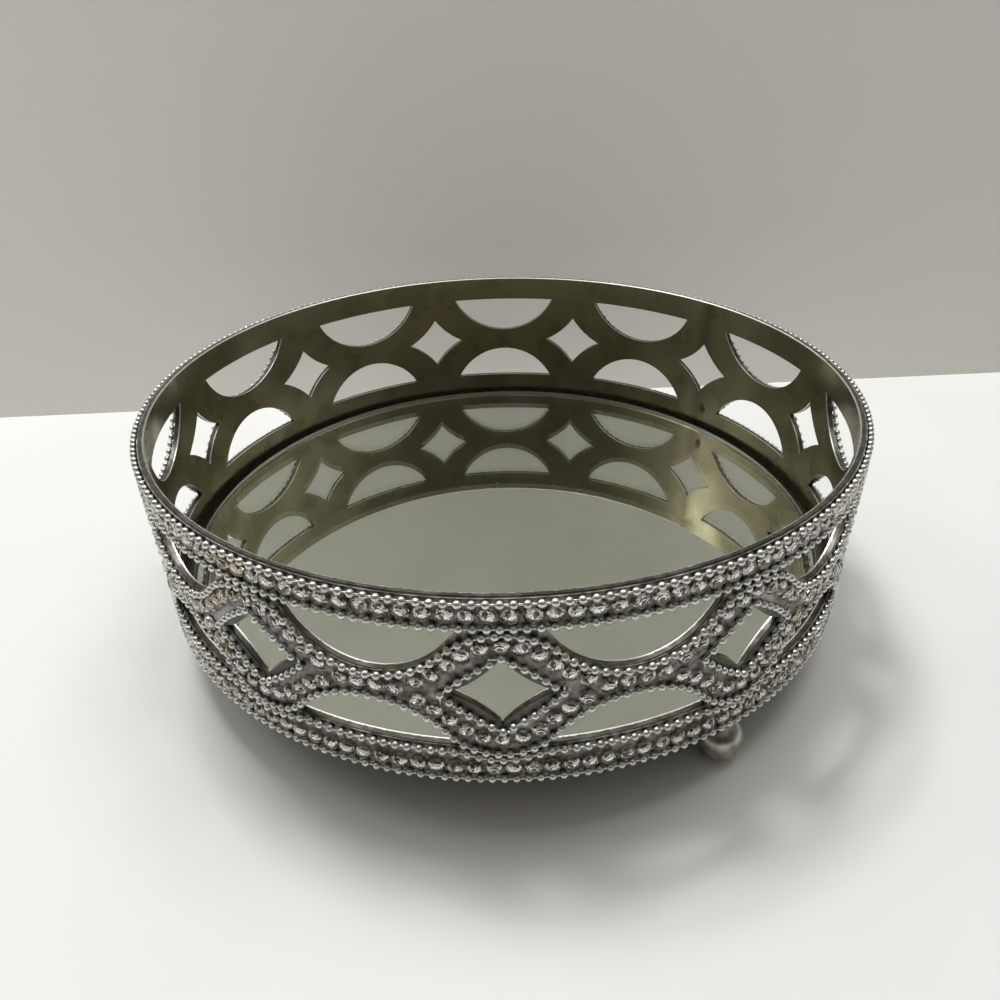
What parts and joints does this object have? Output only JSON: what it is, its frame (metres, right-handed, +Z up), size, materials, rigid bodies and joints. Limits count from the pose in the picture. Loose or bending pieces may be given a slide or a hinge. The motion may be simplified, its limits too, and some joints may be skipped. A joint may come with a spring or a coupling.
{
  "type": "mirror vanity tray",
  "caption": "Round gallery tray with a mirror floor, a pierced metal band trimmed with ball chain and rhinestones, and ball feet.",
  "frame": {"origin": "on the table under the middle of the tray, level with the flats of the ball feet", "axes": "+Z up, -Y towards the viewer, +X to the viewer's right"},
  "size_m": [0.2074, 0.2074, 0.0695],
  "materials": {
    "band_metal": "satin antique pewter plating with bright cut edges",
    "base_metal": "satin pewter lacquer",
    "mirror_glass": "polished float glass with a ground edge",
    "silvering": "silvered and painted back",
    "foam_tape": "white foam mounting tape",
    "foot_metal": "brushed pewter plating",
    "screw_steel": "zinc-plated steel",
    "bead_chain": "silver-plated, slightly dulled",
    "rhinestone": "foil-backed faceted crystal, faint champagne tint",
    "resin": "grey setting resin"
  },
  "bodies": {
    "root": {"pierced_band": "band_metal", "base_plate": "base_metal", "mirror_glass": "mirror_glass", "mirror_silvering": "silvering", "mirror_tape": "foam_tape", "foot_front_right": "foot_metal", "foot_back_right": "foot_metal", "foot_left": "foot_metal", "foot_screws": "screw_steel", "top_ring_resin": "resin", "top_ring_upper_chain": "bead_chain", "top_ring_lower_chain": "bead_chain", "top_ring_stones": "rhinestone", "lattice_resin": "resin", "arch_chain": "bead_chain", "underarch_chain": "bead_chain", "diamond_chains": "bead_chain", "arch_stones": "rhinestone", "underarch_stones": "rhinestone", "neck_stones": "rhinestone", "bottom_ring_resin": "resin", "bottom_ring_upper_chain": "bead_chain", "bottom_ring_lower_chain": "bead_chain", "bottom_ring_stones": "rhinestone"}
  },
  "joints": []
}
